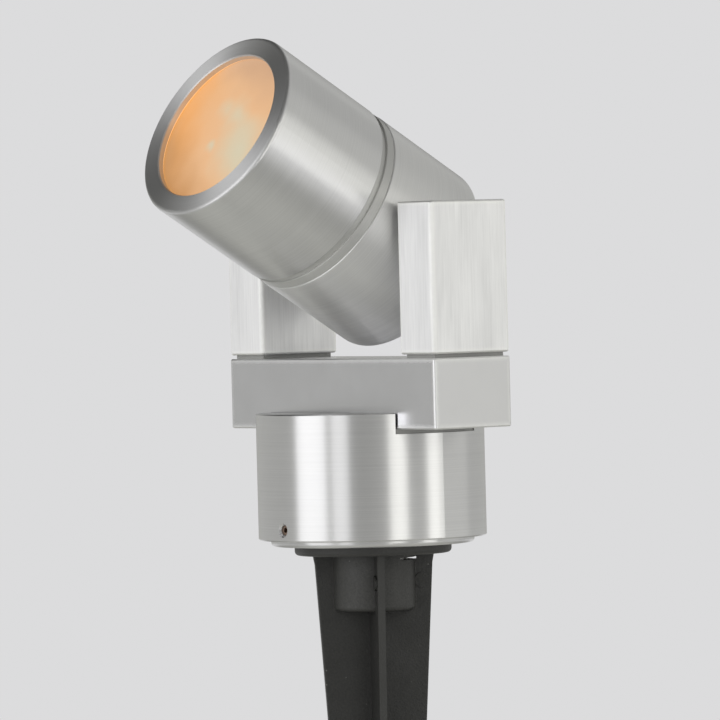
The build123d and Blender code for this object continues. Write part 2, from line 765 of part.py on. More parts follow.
with BuildPart() as lens_gasket:
    with BuildSketch(across_head(lens_front)):
        Circle(lens_radius)
        Circle(aperture_radius + lens_gasket_inset, mode=Mode.SUBTRACT)
    extrude(amount=lens_gasket_thickness)

with BuildPart() as lens_retainer:
    with BuildSketch(across_head(retainer_back)):
        Circle(retainer_radius)
        Circle(aperture_radius, mode=Mode.SUBTRACT)
    extrude(amount=retainer_thickness)

# Reflector lamp: dished shell with a neck, cover glass, burner and two pins
lamp_radius = lamp_diameter / 2
burner_seat = lamp_back + burner_depth
cover_back = lamp_front - lamp_cover_thickness
pin_places = [(-pin_spacing / 2, 0), (pin_spacing / 2, 0)]
with BuildPart() as lamp_reflector:
    with BuildSketch(head_section):
        with BuildLine():
            dish_out = (lamp_neck_diameter / 2, lamp_back + lamp_neck_length)
            rim_back = (lamp_radius, lamp_front - lamp_rim_height)
            ledge_in = (lamp_radius - lamp_rim_width - lamp_ledge, cover_back)
            dish_in = (burner_diameter / 2 + burner_play, lamp_back + lamp_neck_length + lamp_dish_floor)
            Polyline((0, burner_seat), (0, lamp_back), (lamp_neck_diameter / 2, lamp_back), dish_out)
            SagittaArc(dish_out, rim_back, -lamp_dish_bulge)
            Polyline(
                rim_back,
                (lamp_radius, lamp_front),
                (lamp_radius - lamp_rim_width, lamp_front),
                (lamp_radius - lamp_rim_width, cover_back),
                ledge_in,
            )
            SagittaArc(ledge_in, dish_in, lamp_dish_bulge)
            Polyline(dish_in, (burner_diameter / 2 + burner_play, burner_seat), (0, burner_seat))
        make_face()
    revolve(axis=head_axis)

with BuildPart() as lamp_cover:
    with BuildSketch(across_head(cover_back)):
        Circle(lamp_radius - lamp_rim_width - lamp_cover_play)
    extrude(amount=lamp_cover_thickness)

with BuildPart() as lamp_burner:
    with BuildSketch(across_head(burner_seat)):
        Circle(burner_diameter / 2)
    extrude(amount=burner_length)
    fillet(lamp_burner.faces().sort_by(head_axis)[-1].edges(), burner_tip_radius)

with BuildPart() as lamp_pins:
    with BuildSketch(across_head(lamp_back)):
        with Locations(*pin_places):
            Circle(pin_diameter / 2)
    extrude(amount=-pin_length)

# Lamp holder, its bracket on the back wall and the bracket's screws
with BuildPart() as lamp_holder:
    with BuildSketch(across_head(lamp_back)):
        Circle(holder_diameter / 2)
    extrude(amount=-holder_length)
    chamfer(lamp_holder.edges().filter_by(GeomType.CIRCLE), holder_chamfer)
    with BuildSketch(across_head(lamp_back)):
        with Locations(*pin_places):
            Circle(pin_diameter / 2 + pin_play)
    extrude(amount=-(pin_length + pin_end_play), mode=Mode.SUBTRACT)

leg_inside = holder_diameter / 2 + fit
leg_centre = leg_inside + bracket_thickness / 2
with BuildPart() as holder_bracket:
    with BuildSketch(across_head(back_wall_inside)):
        Rectangle(bracket_width, 2 * (leg_inside + bracket_thickness))
        with Locations(*bracket_screw_places):
            Circle(small_screw_diameter / 2 + screw_clearance, mode=Mode.SUBTRACT)
    extrude(amount=bracket_thickness)
    with BuildSketch(across_head(back_wall_inside)):
        with Locations((0, -leg_centre), (0, leg_centre)):
            Rectangle(bracket_width, bracket_thickness)
    extrude(amount=lamp_back - bracket_setback - back_wall_inside)

bracket_face = pivot + aim * (back_wall_inside + bracket_thickness)
holder_screw = cap_screw(small_screw_diameter, bracket_thickness + bracket_thread_depth - screw_tip_play)
holder_screw_places = [
    Plane(origin=bracket_face + head_up * y, x_dir=(1, 0, 0), z_dir=-aim) for x, y in bracket_screw_places
]
with BuildPart() as holder_screws:
    with Locations(*holder_screw_places):
        add(holder_screw)

# Leads: terminal block to pivot in the yoke, pivot to lamp holder in the head
lead_joint = spot_face - lead_joint_inset
lead_height = ceiling - terminal_height / 2
with BuildPart() as yoke_lead:
    with BuildLine():
        FilletPolyline(
            (terminal_face, 0, lead_height),
            (0, 0, lead_height),
            (0, 0, wire_turn),
            (channel_x, 0, wire_exit),
            (channel_x, 0, pivot_height),
            (lead_joint, 0, pivot_height),
            radius=lead_diameter,
        )
    with BuildSketch(Plane(origin=(terminal_face, 0, lead_height), z_dir=(1, 0, 0))):
        Circle(lead_diameter / 2)
    sweep()

with BuildPart() as head_lead:
    with BuildLine():
        FilletPolyline(
            pivot + Vector(lead_joint, 0, 0),
            pivot,
            pivot + aim * holder_back,
            radius=lead_diameter,
        )
    with BuildSketch(Plane(origin=pivot + Vector(lead_joint, 0, 0), z_dir=(-1, 0, 0))):
        Circle(lead_diameter / 2)
    sweep()

# One labelled piece or fastener set to a file
nodes = {
    "spike": spike.part,
    "stem": stem.part,
    "base_plate": base_plate.part,
    "spigot_seal": spigot_seal.part,
    "stem_seal": stem_seal.part,
    "stem_nut": stem_nut.part,
    "base_body": base_body.part,
    "pan_lock_screws": pan_lock_screws.part,
    "crossbar": crossbar.part,
    "crossbar_spacer": crossbar_spacer.part,
    "crossbar_screws": crossbar_screws.part,
    "terminal_block": terminal_block.part,
    "terminal_screw": terminal_screw.part,
    "arm_left": make_arm(-1),
    "arm_right": make_arm(1),
    "arm_spacer_left": make_arm_spacer(-1),
    "arm_spacer_right": make_arm_spacer(1),
    "arm_screws": arm_screws.part,
    "tilt_lock_screws": tilt_lock_screws.part,
    "yoke_lead": yoke_lead.part,
    "rear_housing": rear_housing.part,
    "joint_ring": joint_ring.part,
    "neck_seal": neck_seal.part,
    "trunnion_left": make_trunnion(-1),
    "trunnion_right": make_trunnion(1),
    "pivot_seals": pivot_seals.part,
    "lamp_reflector": lamp_reflector.part,
    "lamp_cover": lamp_cover.part,
    "lamp_burner": lamp_burner.part,
    "lamp_pins": lamp_pins.part,
    "lamp_holder": lamp_holder.part,
    "holder_bracket": holder_bracket.part,
    "holder_screws": holder_screws.part,
    "head_lead": head_lead.part,
    "lens_glass": lens_glass.part,
    "lens_gasket": lens_gasket.part,
    "lens_retainer": lens_retainer.part,
    "front_sleeve": front_sleeve.part,
}
os.makedirs("parts", exist_ok=True)
for name, piece in nodes.items():
    piece.label = name
    export_step(piece, f"parts/{name}.step")
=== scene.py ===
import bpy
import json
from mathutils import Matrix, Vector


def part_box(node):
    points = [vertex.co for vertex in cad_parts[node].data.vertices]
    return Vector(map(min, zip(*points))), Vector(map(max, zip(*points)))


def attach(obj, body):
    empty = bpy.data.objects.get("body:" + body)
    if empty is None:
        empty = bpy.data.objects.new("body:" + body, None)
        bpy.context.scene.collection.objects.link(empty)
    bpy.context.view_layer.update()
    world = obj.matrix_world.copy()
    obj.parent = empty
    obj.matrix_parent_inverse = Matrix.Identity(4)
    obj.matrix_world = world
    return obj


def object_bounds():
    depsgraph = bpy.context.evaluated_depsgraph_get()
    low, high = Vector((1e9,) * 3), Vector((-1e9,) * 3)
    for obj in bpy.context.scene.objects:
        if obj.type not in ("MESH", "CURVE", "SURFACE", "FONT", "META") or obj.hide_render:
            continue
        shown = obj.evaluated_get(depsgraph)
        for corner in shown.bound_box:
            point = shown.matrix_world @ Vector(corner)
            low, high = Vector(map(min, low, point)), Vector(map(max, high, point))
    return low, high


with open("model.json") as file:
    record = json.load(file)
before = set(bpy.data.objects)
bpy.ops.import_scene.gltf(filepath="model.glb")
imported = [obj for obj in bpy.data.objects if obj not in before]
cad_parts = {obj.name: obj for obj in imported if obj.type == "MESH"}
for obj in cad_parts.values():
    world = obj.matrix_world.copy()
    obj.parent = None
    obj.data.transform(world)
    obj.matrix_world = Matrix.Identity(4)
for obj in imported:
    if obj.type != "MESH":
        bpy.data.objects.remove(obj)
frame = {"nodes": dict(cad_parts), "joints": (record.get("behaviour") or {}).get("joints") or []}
cad_box = [list(corner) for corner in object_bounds()]

import json
from math import cos, pi, radians, sin

import bpy
import numpy as np
from mathutils import Euler, Matrix, Vector

# Landscape spotlight on a ground spike: finishes, thread, seals, light and camera, in metres

joints = {joint["name"]: joint for joint in frame["joints"]}
PIVOT = Vector(joints["tilt"]["pos_m"])
AIM = Vector(joints["sleeve_turn"]["axis"])
ORIGIN = Vector((0, 0, 0))
ACROSS = Vector((1, 0, 0))
UP = Vector((0, 0, 1))

# Turns from upright to the axis of a turned piece
UPRIGHT = (0, 0, 0)
HEAD_TURN = (UP.angle(AIM), 0, 0)
PIVOT_TURN = (0, pi / 2, 0)

# Head: stations along its axis from the pivot
NECK_BACK = 0.0244
NECK_FRONT = 0.0364
LENS_FRONT = 0.0633
SLEEVE_FRONT = 0.0657

# Thread on the head's neck: where it runs, its ridge in pitches, and its ends in pitches and turns
NECK_RADIUS = 0.0274
THREAD_RUNOUT = 0.0045
THREAD_LEAD_IN = 0.0006
THREAD_PITCH = 0.002
THREAD_HEIGHT = 0.00012
THREAD_HALF_FOOT = 0.42
THREAD_HALF_CREST = 0.12
THREAD_MARGIN = 0.45
THREAD_FADE_TURNS = 0.5
THREAD_END_SHARE = 0.02
THREAD_STEPS_A_TURN = 72

# Seals in the mouths of the drum's slot
SLOT_CLEARANCE = 0.0005
SEAL_INSET = 0.0005
SEAL_DEPTH = 0.0012
SEAL_STEPS = 49

# Spike: the ribs' half span at the ground line, its fall with the depth, the hub, and the painted sheen on
# the ribs' outer edges
RIB_SPAN = 0.01828
RIB_TAPER = 0.0604
HUB_RADIUS = 0.0128
HUB_FOOT = -0.0175
HUB_SIDE_BAND = 0.0004
HUB_FOOT_BAND = 0.001
SHEEN_WIDTH = 0.0005
SHEEN_FULL = 0.0001


# Shader nodes

def connect(tree, node, links):
    """A node with its inputs set to values or joined to sockets."""
    for key, value in dict(links).items():
        if isinstance(value, bpy.types.NodeSocket):
            tree.links.new(value, node.inputs[key])
        else:
            node.inputs[key].default_value = value
    return node


def put(tree, kind, links=(), **settings):
    """One shader node with its settings; links gives a value or a socket for each input."""
    made = tree.nodes.new("ShaderNode" + kind)
    for name, value in settings.items():
        setattr(made, name, value)
    return connect(tree, made, links)


def calc(tree, operation, *values):
    """The result of a Math node."""
    return put(tree, "Math", enumerate(values), operation=operation).outputs[0]


def vector_calc(tree, operation, *values, out=0):
    """The result of a Vector Math node."""
    return put(tree, "VectorMath", enumerate(values), operation=operation).outputs[out]


def split(tree, vector):
    """The X, Y and Z of a vector."""
    return put(tree, "SeparateXYZ", {0: vector}).outputs


def off_axis(tree, parts):
    """The distance from the Z axis of a place given as its X, Y and Z."""
    flat = put(tree, "CombineXYZ", {0: parts[0], 1: parts[1]}).outputs[0]
    return vector_calc(tree, "LENGTH", flat, out=1)


def remap(tree, value, first, last, start=0.0, end=1.0, smooth=False):
    """first to last as a value goes from start to end, and held there beyond them."""
    links = {"Value": value, "From Min": start, "From Max": end, "To Min": first, "To Max": last}
    kind = "SMOOTHSTEP" if smooth else "LINEAR"
    return put(tree, "MapRange", links, interpolation_type=kind).outputs["Result"]


def fade_in(tree, value, start, end):
    """0 to 1, smoothly, as a value goes from start to end."""
    return remap(tree, value, 0.0, 1.0, start, end, smooth=True)


def opaque(value):
    """A plain colour with its alpha; a socket or a number stays as it is."""
    return (*value, 1.0) if isinstance(value, tuple) else value


def mix(tree, factor, a, b, blend="MIX"):
    """Two colours mixed by a factor, in the colour sockets of a Mix node."""
    links = {"Factor": factor, 6: opaque(a), 7: opaque(b)}
    return put(tree, "Mix", links, data_type="RGBA", blend_type=blend).outputs[2]


def mix_values(tree, factor, a, b):
    """Two plain values mixed by a factor, in the value sockets of a Mix node."""
    return put(tree, "Mix", {"Factor": factor, 2: a, 3: b}).outputs[0]


def noise(tree, vector, scale, detail=2.0, rough=0.5):
    """Soft noise about 0.5."""
    links = {"Vector": vector, "Scale": scale, "Detail": detail, "Roughness": rough}
    return put(tree, "TexNoise", links).outputs["Fac"]


def spread_out(tree, value, reach):
    """Noise drawn out about 0.5: what lies a reach below 0.5 becomes 0, and a reach above it 1."""
    return calc(tree, "MULTIPLY_ADD", value, 0.5 / reach, 0.5 - 0.25 / reach)


def start_group(name, inputs, outputs):
    """An empty node group, what it is given and its output node; inputs are named with their socket kind,
    and outputs are plain values."""
    tree = bpy.data.node_groups.new(name, "ShaderNodeTree")
    for label, kind in inputs.items():
        tree.interface.new_socket(label, in_out="INPUT", socket_type="NodeSocket" + kind)
    for label in outputs:
        tree.interface.new_socket(label, in_out="OUTPUT", socket_type="NodeSocketFloat")
    return tree, tree.nodes.new("NodeGroupInput").outputs, tree.nodes.new("NodeGroupOutput")


def make_turned_lines():
    """Lathe marks: noise of the distance from the axis and of the height along it, so that the marks
    run round a cylinder and make rings on its end, broken slowly round the turn; with slow smudges."""
    inputs = {"Vector": "Vector", "Pitch": "Float"}
    tree, given, result = start_group("turned_lines", inputs, ["Lines", "Smudge"])
    parts = split(tree, given["Vector"])
    rate = calc(tree, "DIVIDE", 1.0, given["Pitch"])
    breaks_per_metre = 25.0
    across = calc(tree, "MULTIPLY", off_axis(tree, parts), rate)
    along = calc(tree, "MULTIPLY", parts[2], rate)
    around = calc(tree, "MULTIPLY", calc(tree, "ADD", parts[0], parts[1]), breaks_per_metre)
    spread = put(tree, "CombineXYZ", {0: across, 1: along, 2: around}).outputs[0]
    fine = noise(tree, spread, scale=1.0, detail=1.0)
    broad = noise(tree, spread, scale=0.17)
    broad_share = 0.1
    lines = mix_values(tree, broad_share, fine, broad)
    smudge = noise(tree, given["Vector"], scale=45.0, detail=3.0)
    connect(tree, result, {"Lines": spread_out(tree, lines, reach=0.25),
                           "Smudge": spread_out(tree, smudge, reach=0.22)})
    return tree


def make_brush_streaks():
    """Straight brush marks: noise drawn out along the vector's Z, fine hairs over broad streaks."""
    inputs = {"Vector": "Vector", "Width": "Float"}
    tree, given, result = start_group("brush_streaks", inputs, ["Hairs", "Streaks"])
    rate = calc(tree, "DIVIDE", 1.0, given["Width"])
    near = put(tree, "VectorMath", {0: given["Vector"], "Scale": rate}, operation="SCALE").outputs[0]
    hair_rates = (1.0, 1.0, 0.035)
    streak_rates = (0.06, 0.06, 0.011)
    fine = vector_calc(tree, "MULTIPLY", near, hair_rates)
    hairs = noise(tree, fine, scale=1.0)
    broad = vector_calc(tree, "MULTIPLY", near, streak_rates)
    streaks = noise(tree, broad, scale=1.0, detail=3.0, rough=0.6)
    connect(tree, result, {"Hairs": spread_out(tree, hairs, reach=0.22),
                           "Streaks": spread_out(tree, streaks, reach=0.22)})
    return tree


def make_grain():
    """Fine grain and slow mottling: two sizes of noise over the piece."""
    inputs = {"Vector": "Vector", "Size": "Float"}
    tree, given, result = start_group("grain", inputs, ["Grain", "Mottle"])
    rate = calc(tree, "DIVIDE", 1.0, given["Size"])
    mottle_share = 0.06
    slow_rate = calc(tree, "MULTIPLY", rate, mottle_share)
    grain = noise(tree, given["Vector"], rate)
    mottle = noise(tree, given["Vector"], slow_rate, detail=3.0)
    connect(tree, result, {"Grain": spread_out(tree, grain, reach=0.25),
                           "Mottle": spread_out(tree, mottle, reach=0.22)})
    return tree


def make_specks():
    """Scattered dust: the few cells of a cell pattern that hold a speck, each a soft dot at its centre."""
    inputs = {"Vector": "Vector", "Spacing": "Float"}
    tree, given, result = start_group("specks", inputs, ["Specks"])
    rate = calc(tree, "DIVIDE", 1.0, given["Spacing"])
    cell = put(tree, "TexVoronoi", {"Vector": given["Vector"], "Scale": rate}).outputs
    dot = remap(tree, cell["Distance"], 1.0, 0.0, start=0.03, end=0.1, smooth=True)
    draw = put(tree, "SeparateColor", {0: cell["Color"]}).outputs[0]
    empty_share = 0.7
    chosen = calc(tree, "GREATER_THAN", draw, empty_share)
    connect(tree, result, {"Specks": calc(tree, "MULTIPLY", dot, chosen)})
    return tree


def make_edge_wear():
    """Wear along the edges of a block and of its mirror image across X, alike front and back: of a point's
    distances from the nearest faces across X, Y and Z, the middle one is its distance from the nearest
    edge; broken by noise."""
    inputs = {"Vector": "Vector", "Low": "Vector", "High": "Vector", "Width": "Float"}
    tree, given, result = start_group("edge_wear", inputs, ["Wear"])
    place = vector_calc(tree, "ABSOLUTE", given["Vector"])
    above = vector_calc(tree, "SUBTRACT", place, given["Low"])
    below = vector_calc(tree, "SUBTRACT", given["High"], place)
    x, y, z = split(tree, vector_calc(tree, "MINIMUM", above, below))
    most = calc(tree, "MAXIMUM", calc(tree, "MAXIMUM", x, y), z)
    least = calc(tree, "MINIMUM", calc(tree, "MINIMUM", x, y), z)
    total = calc(tree, "ADD", calc(tree, "ADD", x, y), z)
    middle = calc(tree, "SUBTRACT", calc(tree, "SUBTRACT", total, most), least)
    near = calc(tree, "SUBTRACT", 1.0, calc(tree, "DIVIDE", middle, given["Width"]))
    patches = spread_out(tree, noise(tree, given["Vector"], scale=600.0), reach=0.3)
    least_wear = 0.5
    broken = remap(tree, patches, least_wear, 1.0)
    worn = calc(tree, "MULTIPLY", fade_in(tree, near, start=0.0, end=1.0), broken)
    connect(tree, result, {"Wear": worn})
    return tree


TURNED_LINES = make_turned_lines()
BRUSH_STREAKS = make_brush_streaks()
GRAIN = make_grain()
SPECKS = make_specks()
EDGE_WEAR = make_edge_wear()


# Materials

# Worn edges; what end faces add to the roughness, and the bands they do it over; depths of marks
EDGE_WIDTH = 0.002
FACE_COARSER = 0.25
FACE_BAND = 0.0004
END_COARSER = 0.38
END_BAND = 0.0002
TURNED_DEPTH = 0.0000008
BRUSHED_DEPTH = 0.0000027


def use(tree, group, **inputs):
    """The outputs of a node group placed in a material with its own values."""
    return put(tree, "Group", inputs, node_tree=group).outputs


def start_material(name, **constants):
    """A material, its tree, its shader with plain values, and the piece's own coordinates."""
    made = bpy.data.materials.new(name)
    made.use_nodes = True
    tree = made.node_tree
    plain = {label.replace("_", " "): opaque(value) for label, value in constants.items()}
    shader = connect(tree, tree.nodes["Principled BSDF"], plain)
    return made, tree, shader, put(tree, "TexCoord").outputs["Object"]


def centred(tree, place, centre, turn):
    """A place counted from a centre, along axes that are turned from upright."""
    links = {"Vector": place, "Location": centre, "Rotation": turn}
    return put(tree, "Mapping", links, vector_type="TEXTURE").outputs[0]


def tint(tree, colour, mask, amount):
    """A colour made darker and lighter, by a share up to the amount, by a mask about 0.5."""
    shade = remap(tree, mask, 1.0 - amount, 1.0 + amount)
    grey = put(tree, "CombineColor", {0: shade, 1: shade, 2: shade}).outputs[0]
    return mix(tree, 1.0, colour, grey, "MULTIPLY")


def bump(tree, height, distance):
    """A surface normal raised by a height."""
    return put(tree, "Bump", {"Height": height, "Distance": distance}).outputs[0]


def edge_wear(tree, place, block):
    """The wear along the edges of a block given by its lowest and highest corners."""
    low, high = block
    return use(tree, EDGE_WEAR, Vector=place, Low=low, High=high, Width=EDGE_WIDTH)["Wear"]


def draw_out_gloss(tree, shader, direction):
    """The gloss is drawn out square to a direction given in the piece's own frame."""
    turned = put(tree, "VectorTransform", {0: direction}, vector_type="VECTOR",
                 convert_from="OBJECT", convert_to="WORLD").outputs[0]
    quarter_turn = 0.25
    connect(tree, shader, {"Tangent": turned, "Anisotropic Rotation": quarter_turn})


def turned_metal(name, colour, turn, centre, roughness, pitch, face=None):
    """Metal turned about an axis: lines round it, and gloss drawn out along it; face is the station of an
    end face that was left coarser."""
    made, tree, shader, place = start_material(name, Metallic=1.0, Anisotropic=0.85)
    local = centred(tree, place, centre, turn)
    marks = use(tree, TURNED_LINES, Vector=local, Pitch=pitch)
    lined = tint(tree, colour, marks["Lines"], amount=0.045)
    gloss = remap(tree, marks["Lines"], *roughness)
    if face is not None:
        coarser = remap(tree, split(tree, local)[2], 0.0, FACE_COARSER, start=face - FACE_BAND, end=face)
        gloss = calc(tree, "ADD", gloss, coarser)
    connect(tree, shader, {"Base Color": tint(tree, lined, marks["Smudge"], amount=0.02),
                           "Roughness": gloss,
                           "Normal": bump(tree, marks["Lines"], TURNED_DEPTH)})
    axis = tuple(Euler(turn).to_matrix() @ UP)
    arm = vector_calc(tree, "SUBTRACT", place, tuple(centre))
    draw_out_gloss(tree, shader, vector_calc(tree, "CROSS_PRODUCT", axis, arm))
    return made


def brushed_arm():
    """Metal brushed upright: hairs and streaks, gloss drawn out across them, and worn pale along the
    edges."""
    made, tree, shader, place = start_material("brushed_arm", Metallic=1.0, Anisotropic=0.8)
    marks = use(tree, BRUSH_STREAKS, Vector=place, Width=0.0005)
    metal = (0.89, 0.89, 0.89)
    worn_metal = (1.0, 1.0, 0.97)
    hairy = tint(tree, metal, marks["Hairs"], amount=0.045)
    streaked = tint(tree, hairy, marks["Streaks"], amount=0.055)
    wear = edge_wear(tree, place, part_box("arm_right"))
    connect(tree, shader, {"Base Color": mix(tree, wear, streaked, worn_metal),
                           "Roughness": remap(tree, marks["Streaks"], 0.58, 0.46),
                           "Normal": bump(tree, marks["Hairs"], BRUSHED_DEPTH)})
    draw_out_gloss(tree, shader, tuple(UP))
    return made


def smooth_bar():
    """Smooth metal with faint mottling; its sawn ends across X are coarser and painted darker as shade, and
    its worn edges coarser and paler."""
    made, tree, shader, place = start_material("smooth_bar", Metallic=1.0)
    marks = use(tree, GRAIN, Vector=place, Size=0.0005)
    metal = (0.79, 0.79, 0.815)
    end_shade_metal = (0.71, 0.71, 0.71)
    worn_metal = (0.86, 0.86, 0.845)
    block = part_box("crossbar")
    half_length = block[1][0]
    away = calc(tree, "ABSOLUTE", split(tree, place)[0])
    sawn_and_shaded_ends = remap(tree, away, 0.0, 1.0, start=half_length - END_BAND, end=half_length)
    wear = edge_wear(tree, place, block)
    mottled = tint(tree, metal, marks["Mottle"], amount=0.015)
    coarser = calc(tree, "MULTIPLY", calc(tree, "MAXIMUM", sawn_and_shaded_ends, wear), END_COARSER)
    gloss = calc(tree, "ADD", remap(tree, marks["Mottle"], 0.18, 0.21), coarser)
    # Painted shade: a darker colour on the ends across X
    end_shaded = mix(tree, sawn_and_shaded_ends, mottled, end_shade_metal)
    connect(tree, shader, {"Base Color": mix(tree, wear, end_shaded, worn_metal),
                           "Roughness": gloss,
                           "Normal": bump(tree, marks["Grain"], distance=0.0000004)})
    return made


def grained(name, colour, roughness, size, depth, contrast=0.12, **constants):
    """A moulded, cast or plain finish: grain in its height, and mottling in its colour and gloss."""
    made, tree, shader, place = start_material(name, **constants)
    marks = use(tree, GRAIN, Vector=place, Size=size)
    connect(tree, shader, {"Base Color": tint(tree, colour, marks["Mottle"], contrast),
                           "Roughness": remap(tree, marks["Mottle"], *roughness),
                           "Normal": bump(tree, marks["Grain"], depth)})
    return made


def rubber(name, colour, contrast):
    """Matt rubber with a fine grain."""
    return grained(name, colour, roughness=(0.6, 0.75), size=0.0008, depth=0.00001, contrast=contrast)


def black_moulding():
    """Black moulding with a fine grain, painted paler on the hub as light and darker on the ribs as shade,
    a painted sheen of pale grey along the ribs' outer edges, and specks of dust; the ribs' half span falls
    evenly with the depth."""
    made, tree, shader, place = start_material("black_moulding")
    marks = use(tree, GRAIN, Vector=place, Size=0.0006)
    # Painted light and shade: the hub's paler black stands in for the light on it, and the ribs' darker
    # black for their shade
    painted_shade_rib_black = (0.017, 0.017, 0.0155)
    painted_light_hub_black = (0.033, 0.033, 0.0305)
    painted_sheen_grey = (0.038, 0.038, 0.036)
    dust = (0.12, 0.12, 0.115)
    parts = split(tree, place)
    radius = off_axis(tree, parts)
    within = remap(tree, radius, 1.0, 0.0, start=HUB_RADIUS, end=HUB_RADIUS + HUB_SIDE_BAND)
    above = remap(tree, parts[2], 0.0, 1.0, start=HUB_FOOT, end=HUB_FOOT + HUB_FOOT_BAND)
    # Where the painted light on the hub goes
    painted_light_hub_mask = calc(tree, "MULTIPLY", within, above)
    # Painted sheen: pale grey along the ribs' outer edges, in place of the highlight on their rounded
    # edges, broken by mottling
    span = calc(tree, "MULTIPLY_ADD", parts[2], RIB_TAPER, RIB_SPAN)
    inside = calc(tree, "SUBTRACT", span, radius)
    edge = remap(tree, inside, 1.0, 0.0, start=SHEEN_FULL, end=SHEEN_WIDTH, smooth=True)
    least_sheen = 0.6
    painted_edge_sheen = calc(tree, "MULTIPLY", edge, remap(tree, marks["Mottle"], least_sheen, 1.0))
    black = tint(tree, mix(tree, painted_light_hub_mask, painted_shade_rib_black, painted_light_hub_black), marks["Grain"], amount=0.3)
    specks = use(tree, SPECKS, Vector=place, Spacing=0.0034)["Specks"]
    ribbed = mix(tree, painted_edge_sheen, black, painted_sheen_grey)
    connect(tree, shader, {"Base Color": mix(tree, specks, ribbed, dust),
                           "Roughness": remap(tree, marks["Mottle"], 0.42, 0.58),
                           "Normal": bump(tree, marks["Grain"], distance=0.00005)})
    return made


def lit_lens():
    """Frosted glass lit from behind, its glow painted as emission: peach that passes into orange to one
    side, brown below it and rose above, each over a stretch of the lens in a direction, with the lamp's
    soft pale spots painted in."""
    made, tree, shader, place = start_material("lit_lens", Base_Color=(0.1, 0.07, 0.045),
                                               Emission_Strength=1.0, Coat_Weight=0.3,
                                               Coat_Roughness=0.2)
    peach = (0.74, 0.43, 0.22)
    orange = (0.79, 0.34, 0.085)
    brown = (0.50, 0.235, 0.075)
    rose = (0.56, 0.33, 0.19)
    pale = (0.59, 0.54, 0.39)
    local = centred(tree, place, PIVOT + AIM * LENS_FRONT, HEAD_TURN)
    wander = put(tree, "TexNoise", {"Vector": local, "Scale": 70.0, "Detail": 2.0}).outputs["Color"]
    wander_middle = (0.5, 0.5, 0.5)
    wander_width = (0.012, 0.012, 0.0)
    shift = vector_calc(tree, "SUBTRACT", wander, wander_middle)
    bent = vector_calc(tree, "ADD", local, vector_calc(tree, "MULTIPLY", shift, wander_width))
    parts = split(tree, bent)

    # Painted glow: colour, direction in degrees, and where it starts and is full along that direction
    stretches = ((orange, 180, 0.002, 0.024), (brown, 228, 0.006, 0.025), (rose, 70, 0.008, 0.025))
    glow = peach
    for shade, angle, start, end in stretches:
        sideways = calc(tree, "MULTIPLY", parts[0], cos(radians(angle)))
        upwards = calc(tree, "MULTIPLY", parts[1], sin(radians(angle)))
        along = calc(tree, "ADD", sideways, upwards)
        glow = mix(tree, fade_in(tree, along, start, end), glow, shade)
    # Place across and up the lens, radius, and share of the pale colour of the painted spots
    spots = ((0.0145, -0.008, 0.0165, 1.0), (0.0098, -0.001, 0.009, 0.6), (0.0042, 0.0046, 0.008, 0.8),
             (-0.0023, 0.0079, 0.005, 0.6), (-0.0001, -0.0061, 0.0034, 0.85))
    for x, y, radius, share in spots:
        away = vector_calc(tree, "DISTANCE", bent, (x, y, 0.0), out=1)
        spot = remap(tree, away, 1.0, 0.0, start=0.0, end=radius, smooth=True)
        glow = mix(tree, calc(tree, "MULTIPLY", spot, share), glow, pale)

    frost = use(tree, GRAIN, Vector=place, Size=0.0006)["Grain"]
    connect(tree, shader, {"Emission Color": glow, "Roughness": remap(tree, frost, 0.35, 0.5),
                           "Normal": bump(tree, frost, distance=0.00001)})
    return made


def faceted_mirror():
    """A bright reflector dish with its small mirrors as a cell pattern in its height."""
    made, tree, shader, place = start_material("faceted_mirror", Metallic=1.0)
    cells = put(tree, "TexVoronoi", {"Vector": place, "Scale": 380.0}).outputs
    shade = put(tree, "SeparateColor", {0: cells["Color"]}).outputs[0]
    connect(tree, shader, {"Base Color": tint(tree, (0.88, 0.85, 0.8), shade, amount=0.08),
                           "Roughness": remap(tree, shade, 0.05, 0.14),
                           "Normal": bump(tree, cells["Distance"], distance=0.0004)})
    return made


def clear_glass(name, colour, **constants):
    """Clear lamp glass with a faint haze."""
    made, tree, shader, place = start_material(name, Transmission_Weight=0.9, IOR=1.47, **constants)
    haze = use(tree, GRAIN, Vector=place, Size=0.0015)["Mottle"]
    connect(tree, shader, {"Base Color": tint(tree, colour, haze, amount=0.04),
                           "Roughness": remap(tree, haze, 0.03, 0.1)})
    return made


